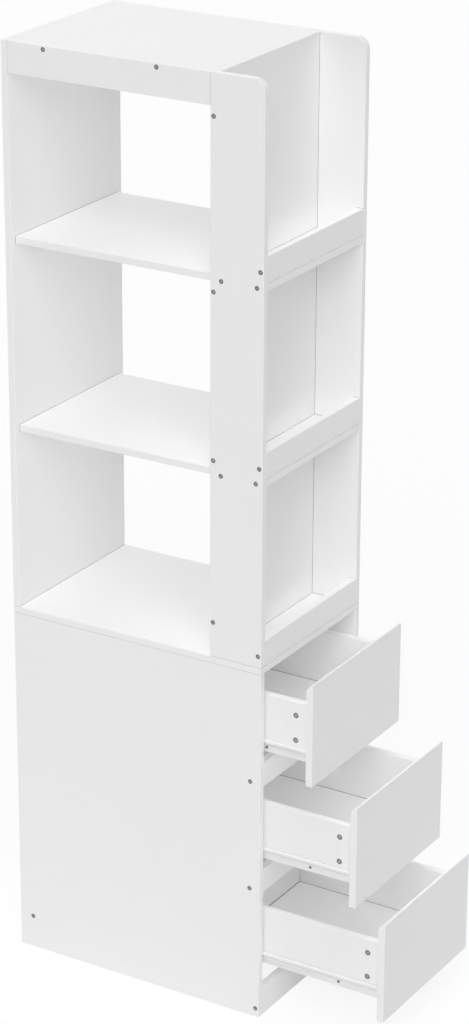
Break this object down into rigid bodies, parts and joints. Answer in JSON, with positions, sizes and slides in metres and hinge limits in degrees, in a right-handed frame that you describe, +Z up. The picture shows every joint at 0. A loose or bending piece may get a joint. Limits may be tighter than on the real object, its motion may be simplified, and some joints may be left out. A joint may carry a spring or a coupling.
{
  "type": "bathroom storage tower",
  "caption": "Narrow deep bathroom storage tower: drawers below, side-open shelf bays above, and shallow railed cubbies along the front.",
  "frame": {"origin": "the middle of the plinth rail's underside, where the tower's front stands on the floor", "axes": "+Z up, +Y to the rear, so the drawers open towards -Y, and +X to the right seen from the front"},
  "size_m": [0.4, 0.885, 2],
  "materials": {
    "board": "white melamine-faced particle board with a fine satin texture",
    "thin_panel": "thin white-faced fibre board",
    "runner_steel": "white epoxy-coated folded steel",
    "roller_plastic": "white moulded plastic",
    "zinc": "bright zinc plate",
    "screw_steel": "nickel-plated steel",
    "dowel_wood": "fluted beech dowel"
  },
  "bodies": {
    "tower": {"back_panel": "board", "top_board": "board", "top_rail_left": "board", "top_rail_right": "board", "main_shelf_upper": "board", "main_shelf_lower": "board", "divider": "board", "side_board_left": "board", "side_board_right": "board", "cubby_shelf_upper": "board", "cubby_shelf_lower": "board", "guard_rail_upper": "board", "guard_rail_middle": "board", "guard_rail_lower": "board", "base_top": "board", "base_side_left": "board", "base_side_right": "board", "plinth_rail": "board", "mid_rail_upper": "board", "mid_rail_lower": "board", "rear_rail": "board", "base_back": "thin_panel", "cabinet_runners_left": "runner_steel", "cabinet_runners_right": "runner_steel", "carcass_screws": "screw_steel", "wood_dowels": "dowel_wood", "runner_screws": "zinc"},
    "drawer_1": {"drawer_1_front": "board", "drawer_1_side_left": "board", "drawer_1_side_right": "board", "drawer_1_back": "board", "drawer_1_bottom": "thin_panel", "drawer_1_runner_left": "runner_steel", "drawer_1_runner_right": "runner_steel", "drawer_1_cam_locks": "zinc", "drawer_1_screws": "screw_steel"},
    "drawer_1_rear_roller_pair": {"drawer_1_rear_rollers": "roller_plastic"},
    "cabinet_roller_pair_1": {"front_rollers_1": "roller_plastic"},
    "drawer_2": {"drawer_2_front": "board", "drawer_2_side_left": "board", "drawer_2_side_right": "board", "drawer_2_back": "board", "drawer_2_bottom": "thin_panel", "drawer_2_runner_left": "runner_steel", "drawer_2_runner_right": "runner_steel", "drawer_2_cam_locks": "zinc", "drawer_2_screws": "screw_steel"},
    "drawer_2_rear_roller_pair": {"drawer_2_rear_rollers": "roller_plastic"},
    "cabinet_roller_pair_2": {"front_rollers_2": "roller_plastic"},
    "drawer_3": {"drawer_3_front": "board", "drawer_3_side_left": "board", "drawer_3_side_right": "board", "drawer_3_back": "board", "drawer_3_bottom": "thin_panel", "drawer_3_runner_left": "runner_steel", "drawer_3_runner_right": "runner_steel", "drawer_3_cam_locks": "zinc", "drawer_3_screws": "screw_steel"},
    "drawer_3_rear_roller_pair": {"drawer_3_rear_rollers": "roller_plastic"},
    "cabinet_roller_pair_3": {"front_rollers_3": "roller_plastic"}
  },
  "joints": [
    {"name": "top_drawer_slide", "type": "slide", "parent": "tower", "child": "drawer_1", "axis": [0, -1, 0], "range_m": [-0.11, 0.19]},
    {"name": "top_rear_rollers_turn", "type": "hinge", "parent": "drawer_1", "child": "drawer_1_rear_roller_pair", "pos_m": [0, 0.2775, 0.632], "axis": [1, 0, 0], "range_deg": [-760, 1300]},
    {"name": "top_front_rollers_turn", "type": "hinge", "parent": "tower", "child": "cabinet_roller_pair_1", "pos_m": [0, 0.0235, 0.6167], "axis": [1, 0, 0], "range_deg": [-760, 1300]},
    {"name": "middle_drawer_slide", "type": "slide", "parent": "tower", "child": "drawer_2", "axis": [0, -1, 0], "range_m": [-0.215, 0.085]},
    {"name": "middle_rear_rollers_turn", "type": "hinge", "parent": "drawer_2", "child": "drawer_2_rear_roller_pair", "pos_m": [0, 0.1725, 0.3875], "axis": [1, 0, 0], "range_deg": [-1460, 590]},
    {"name": "middle_front_rollers_turn", "type": "hinge", "parent": "tower", "child": "cabinet_roller_pair_2", "pos_m": [0, 0.0235, 0.3722], "axis": [1, 0, 0], "range_deg": [-1460, 590]},
    {"name": "bottom_drawer_slide", "type": "slide", "parent": "tower", "child": "drawer_3", "axis": [0, -1, 0], "range_m": [-0.285, 0.015]},
    {"name": "bottom_rear_rollers_turn", "type": "hinge", "parent": "drawer_3", "child": "drawer_3_rear_roller_pair", "pos_m": [0, 0.1025, 0.143], "axis": [1, 0, 0], "range_deg": [-1940, 120]},
    {"name": "bottom_front_rollers_turn", "type": "hinge", "parent": "tower", "child": "cabinet_roller_pair_3", "pos_m": [0, 0.0235, 0.1277], "axis": [1, 0, 0], "range_deg": [-1940, 120]}
  ],
  "couplings": [
    {"joint": "top_rear_rollers_turn", "follows": "top_drawer_slide", "rad_per_m": 117.65},
    {"joint": "top_front_rollers_turn", "follows": "top_drawer_slide", "rad_per_m": 117.65},
    {"joint": "middle_rear_rollers_turn", "follows": "middle_drawer_slide", "rad_per_m": 117.65},
    {"joint": "middle_front_rollers_turn", "follows": "middle_drawer_slide", "rad_per_m": 117.65},
    {"joint": "bottom_rear_rollers_turn", "follows": "bottom_drawer_slide", "rad_per_m": 117.65},
    {"joint": "bottom_front_rollers_turn", "follows": "bottom_drawer_slide", "rad_per_m": 117.65}
  ]
}
